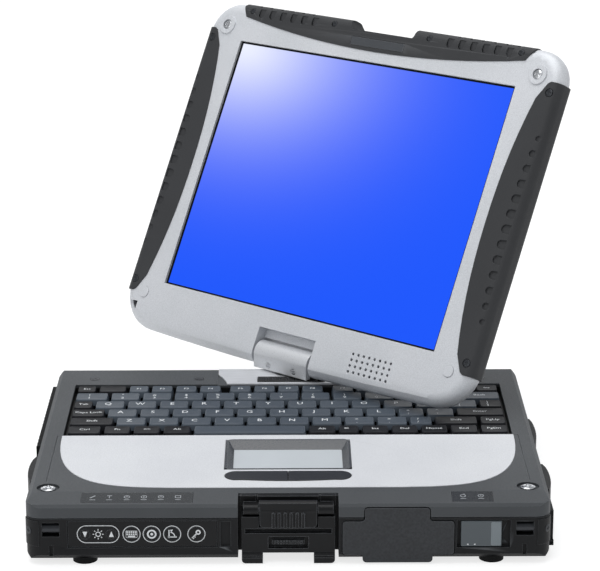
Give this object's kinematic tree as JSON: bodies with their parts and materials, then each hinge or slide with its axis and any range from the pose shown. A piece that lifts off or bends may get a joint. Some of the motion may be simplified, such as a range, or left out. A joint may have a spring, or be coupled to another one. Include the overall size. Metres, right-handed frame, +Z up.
{
  "type": "laptop computer",
  "caption": "Rugged convertible laptop: a display lid that swivels and tilts on a turret over a thick keyboard base with a latch bay, port covers and bumpers.",
  "frame": {"origin": "centre of the base's footprint on the table top it stands on", "axes": "+X to the user's right, +Y to the rear of the base, +Z up; the lid is turned 41.4 degrees and leans 27 degrees back at rest"},
  "size_m": [0.2997, 0.3651, 0.2307],
  "materials": {
    "case_plastic": "fine moulded texture",
    "deck_paint": "fine moulded texture",
    "silver_paint": "metallic paint on die-cast light alloy",
    "hinge_plate_metal": "brushed",
    "black_plastic": "satin moulded",
    "button_plastic": "satin moulded",
    "touchpad_film": "smooth film",
    "window_plastic": "smoked",
    "rubber_black": "matt",
    "bumper_rubber": "matt",
    "steel": "plated",
    "key_grey": "fine texture",
    "key_black": "fine texture",
    "switch_grey": "satin",
    "board_green": "solder mask",
    "battery_black": "satin",
    "drive_metal": "satin",
    "connector_black": "satin",
    "screen_glass": "lit display behind a hard coat",
    "badge_metal": "satin, blank"
  },
  "bodies": {
    "base": {"lower_case": "case_plastic", "upper_case": "deck_paint", "palm_rest": "silver_paint", "keyboard_tray": "black_plastic", "touchpad_frame": "button_plastic", "touchpad_surface": "touchpad_film", "hinge_plate": "hinge_plate_metal", "swivel_bearing": "steel", "front_bay_cover": "case_plastic", "latch_cradle": "case_plastic", "button_panel": "black_plastic", "indicator_windows": "window_plastic", "rubber_feet": "rubber_black", "corner_guards": "bumper_rubber", "steel_pins": "steel", "case_screws": "steel", "bottom_cover": "case_plastic", "mainboard": "board_green", "battery_pack": "battery_black", "hard_drive": "drive_metal", "heat_plate": "drive_metal", "dock_connector": "connector_black", "port_block": "steel"},
    "function_keys": {"function_keys": "key_grey"},
    "number_keys": {"number_keys": "key_grey"},
    "tab_row_keys": {"tab_row_keys": "key_grey"},
    "home_row_keys": {"home_row_keys": "key_grey"},
    "shift_row_keys": {"shift_row_keys": "key_grey"},
    "bottom_row_keys": {"bottom_row_keys": "key_black"},
    "space_bar": {"space_bar": "key_grey"},
    "enter_key": {"enter_key": "key_black"},
    "touch_button_left": {"touch_button_left": "button_plastic"},
    "touch_button_right": {"touch_button_right": "button_plastic"},
    "brightness_down_button": {"brightness_down_button": "button_plastic"},
    "brightness_up_button": {"brightness_up_button": "button_plastic"},
    "keyboard_button": {"keyboard_button": "button_plastic"},
    "input_button": {"input_button": "button_plastic"},
    "rotate_button": {"rotate_button": "button_plastic"},
    "security_button": {"security_button": "button_plastic"},
    "power_switch": {"power_switch": "switch_grey"},
    "release_slider": {"release_slider": "black_plastic"},
    "front_latch": {"front_latch": "black_plastic"},
    "left_port_cover": {"left_port_cover": "rubber_black"},
    "battery_door": {"battery_door": "case_plastic"},
    "hard_drive_door": {"hard_drive_door": "case_plastic"},
    "rear_port_cover": {"rear_port_cover": "rubber_black"},
    "swivel": {"turret": "black_plastic", "hinge_barrel": "silver_paint", "barrel_screws": "steel"},
    "lid": {"lid_front_bezel": "silver_paint", "lid_back_cover": "silver_paint", "lcd_panel": "drive_metal", "touch_glass": "screen_glass", "side_bumpers": "bumper_rubber", "top_bumper": "bumper_rubber", "badge_plate": "badge_metal", "lid_screws": "steel", "lid_caps": "silver_paint", "hinge_shafts": "steel", "speaker": "black_plastic"}
  },
  "joints": [
    {"name": "lid_swivel", "type": "hinge", "parent": "base", "child": "swivel", "pos_m": [0, 0.1, 0.044], "axis": [0, 0, 1], "range_deg": [-138.6, 41.4]},
    {"name": "lid_tilt", "type": "hinge", "parent": "swivel", "child": "lid", "pos_m": [0, 0.1, 0.044], "axis": [0.7501, -0.6613, 0], "range_deg": [-63, 117]},
    {"name": "function_keys_press", "type": "slide", "parent": "base", "child": "function_keys", "axis": [0, 0, -1], "range_m": [0, 0.0016], "stiffness_N_per_m": 300, "springref_m": -0.002},
    {"name": "number_keys_press", "type": "slide", "parent": "base", "child": "number_keys", "axis": [0, 0, -1], "range_m": [0, 0.0016], "stiffness_N_per_m": 300, "springref_m": -0.002},
    {"name": "tab_row_keys_press", "type": "slide", "parent": "base", "child": "tab_row_keys", "axis": [0, 0, -1], "range_m": [0, 0.0016], "stiffness_N_per_m": 300, "springref_m": -0.002},
    {"name": "home_row_keys_press", "type": "slide", "parent": "base", "child": "home_row_keys", "axis": [0, 0, -1], "range_m": [0, 0.0016], "stiffness_N_per_m": 300, "springref_m": -0.002},
    {"name": "shift_row_keys_press", "type": "slide", "parent": "base", "child": "shift_row_keys", "axis": [0, 0, -1], "range_m": [0, 0.0016], "stiffness_N_per_m": 300, "springref_m": -0.002},
    {"name": "bottom_row_keys_press", "type": "slide", "parent": "base", "child": "bottom_row_keys", "axis": [0, 0, -1], "range_m": [0, 0.0016], "stiffness_N_per_m": 300, "springref_m": -0.002},
    {"name": "space_bar_press", "type": "slide", "parent": "base", "child": "space_bar", "axis": [0, 0, -1], "range_m": [0, 0.0016], "stiffness_N_per_m": 300, "springref_m": -0.002},
    {"name": "enter_key_press", "type": "slide", "parent": "base", "child": "enter_key", "axis": [0, 0, -1], "range_m": [0, 0.0016], "stiffness_N_per_m": 300, "springref_m": -0.002},
    {"name": "touch_button_left_press", "type": "slide", "parent": "base", "child": "touch_button_left", "axis": [0, 0, -1], "range_m": [0, 0.0008], "stiffness_N_per_m": 300, "springref_m": -0.001},
    {"name": "touch_button_right_press", "type": "slide", "parent": "base", "child": "touch_button_right", "axis": [0, 0, -1], "range_m": [0, 0.0008], "stiffness_N_per_m": 300, "springref_m": -0.001},
    {"name": "brightness_down_button_press", "type": "slide", "parent": "base", "child": "brightness_down_button", "axis": [0, 1, 0], "range_m": [0, 0.0006], "stiffness_N_per_m": 300, "springref_m": -0.001},
    {"name": "brightness_up_button_press", "type": "slide", "parent": "base", "child": "brightness_up_button", "axis": [0, 1, 0], "range_m": [0, 0.0006], "stiffness_N_per_m": 300, "springref_m": -0.001},
    {"name": "keyboard_button_press", "type": "slide", "parent": "base", "child": "keyboard_button", "axis": [0, 1, 0], "range_m": [0, 0.0006], "stiffness_N_per_m": 300, "springref_m": -0.001},
    {"name": "input_button_press", "type": "slide", "parent": "base", "child": "input_button", "axis": [0, 1, 0], "range_m": [0, 0.0006], "stiffness_N_per_m": 300, "springref_m": -0.001},
    {"name": "rotate_button_press", "type": "slide", "parent": "base", "child": "rotate_button", "axis": [0, 1, 0], "range_m": [0, 0.0006], "stiffness_N_per_m": 300, "springref_m": -0.001},
    {"name": "security_button_press", "type": "slide", "parent": "base", "child": "security_button", "axis": [0, 1, 0], "range_m": [0, 0.0006], "stiffness_N_per_m": 300, "springref_m": -0.001},
    {"name": "power_switch_slide", "type": "slide", "parent": "base", "child": "power_switch", "axis": [1, 0, 0], "range_m": [0, 0.0034], "stiffness_N_per_m": 200, "springref_m": -0.002},
    {"name": "release_slider_slide", "type": "slide", "parent": "base", "child": "release_slider", "axis": [1, 0, 0], "range_m": [0, 0.004], "stiffness_N_per_m": 200, "springref_m": -0.002},
    {"name": "front_latch_flip", "type": "hinge", "parent": "base", "child": "front_latch", "pos_m": [0, -0.1045, 0.0291], "axis": [-1, 0, 0], "range_deg": [0, 100]},
    {"name": "left_port_cover_hinge", "type": "hinge", "parent": "base", "child": "left_port_cover", "pos_m": [-0.1369, 0.03672, 0.007], "axis": [0, -1, 0], "range_deg": [0, 95]},
    {"name": "battery_door_hinge", "type": "hinge", "parent": "base", "child": "battery_door", "pos_m": [0.1369, 0.01107, 0.007], "axis": [0, 1, 0], "range_deg": [0, 95]},
    {"name": "hard_drive_door_hinge", "type": "hinge", "parent": "base", "child": "hard_drive_door", "pos_m": [0.1369, -0.06291, 0.007], "axis": [0, 1, 0], "range_deg": [0, 95]},
    {"name": "rear_port_cover_hinge", "type": "hinge", "parent": "base", "child": "rear_port_cover", "pos_m": [-0.07, 0.1071, 0.009], "axis": [-1, 0, 0], "range_deg": [0, 95]}
  ]
}
